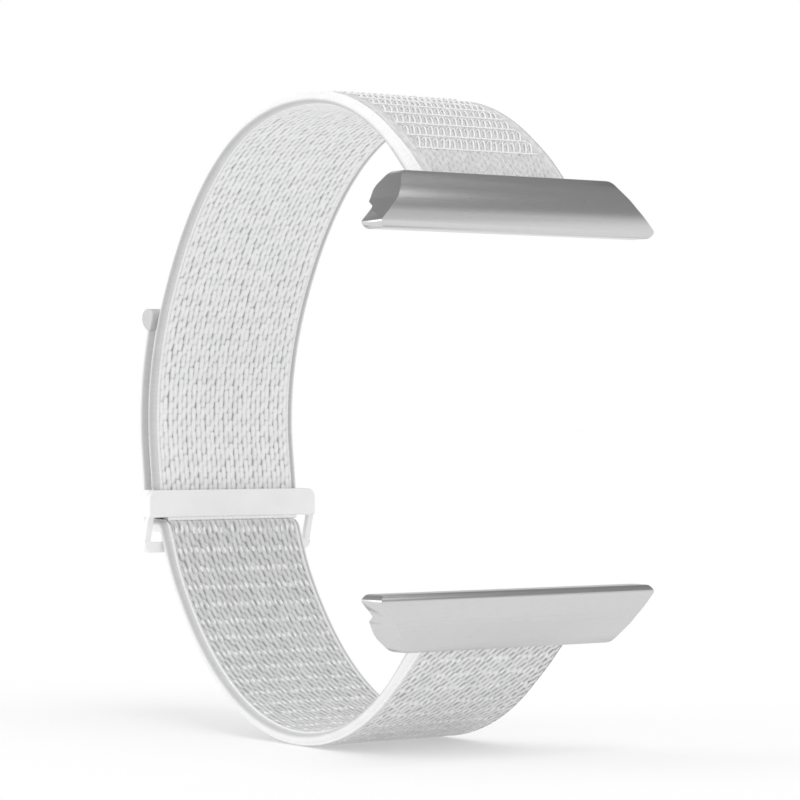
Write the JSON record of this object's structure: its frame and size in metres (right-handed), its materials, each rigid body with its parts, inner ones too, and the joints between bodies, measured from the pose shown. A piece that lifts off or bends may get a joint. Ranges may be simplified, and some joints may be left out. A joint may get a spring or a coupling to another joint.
{
  "type": "watch strap",
  "caption": "Woven nylon watch strap closed in a loop, with slide-in metal lugs, a ring buckle and a hook-and-loop tail.",
  "frame": {"origin": "middle of the flat seat of the upper lug, the face that meets the floor of a watch case's strap slot", "axes": "+X across the strap, +Y from the watch's display side towards the back of the wrist, +Z from the lower lug towards the upper lug"},
  "size_m": [0.034, 0.0627, 0.0695],
  "materials": {
    "webbing": "matte woven nylon",
    "hook_tape": "matte nylon hooks",
    "lug_metal": "satin",
    "pin_steel": "turned",
    "latch_steel": "satin",
    "buckle_plastic": "satin moulded",
    "tab_plastic": "satin moulded",
    "pad_rubber": "matte"
  },
  "bodies": {
    "upper_lug": {"upper_lug_body": "lug_metal", "upper_lug_pin": "pin_steel", "upper_latch_retainer": "latch_steel", "upper_latch_spring": "pin_steel", "upper_lug_pad_left": "pad_rubber", "upper_lug_pad_right": "pad_rubber"},
    "upper_latch": {"upper_latch_plunger": "latch_steel"},
    "upper_band": {"upper_strap": "webbing", "threaded_strap": "webbing", "buckle_frame": "buckle_plastic"},
    "tail": {"tail_strap": "webbing", "hook_patch": "hook_tape", "tail_end_tab": "tab_plastic"},
    "lower_band": {"lower_strap": "webbing"},
    "lower_lug": {"lower_lug_body": "lug_metal", "lower_lug_pin": "pin_steel", "lower_latch_retainer": "latch_steel", "lower_latch_spring": "pin_steel", "lower_lug_pad_left": "pad_rubber", "lower_lug_pad_right": "pad_rubber"},
    "lower_latch": {"lower_latch_plunger": "latch_steel"}
  },
  "joints": [
    {"name": "upper_strap_hinge", "type": "hinge", "parent": "upper_lug", "child": "upper_band", "pos_m": [0, 0.0022, 0.00405], "axis": [1, 0, 0], "range_deg": [-15, 25]},
    {"name": "tail_peel", "type": "hinge", "parent": "upper_band", "child": "tail", "pos_m": [0, 0.06007, -0.02971], "axis": [-1, 0, 0], "range_deg": [0, 80]},
    {"name": "lower_strap_flex", "type": "hinge", "parent": "upper_band", "child": "lower_band", "pos_m": [0, 0.05527, -0.03175], "axis": [1, 0, 0], "range_deg": [-15, 10]},
    {"name": "lower_lug_hinge", "type": "hinge", "parent": "lower_band", "child": "lower_lug", "pos_m": [0, 0.0022, -0.04005], "axis": [1, 0, 0], "range_deg": [-15, 25]},
    {"name": "upper_latch_press", "type": "slide", "parent": "upper_lug", "child": "upper_latch", "axis": [0, -1, 0], "range_m": [0, 0.0006], "stiffness_N_per_m": 1200, "springref_m": -0.0003, "deforming": ["upper_latch_spring"]},
    {"name": "lower_latch_press", "type": "slide", "parent": "lower_lug", "child": "lower_latch", "axis": [0, -1, 0], "range_m": [0, 0.0006], "stiffness_N_per_m": 1200, "springref_m": -0.0003, "deforming": ["lower_latch_spring"]}
  ]
}
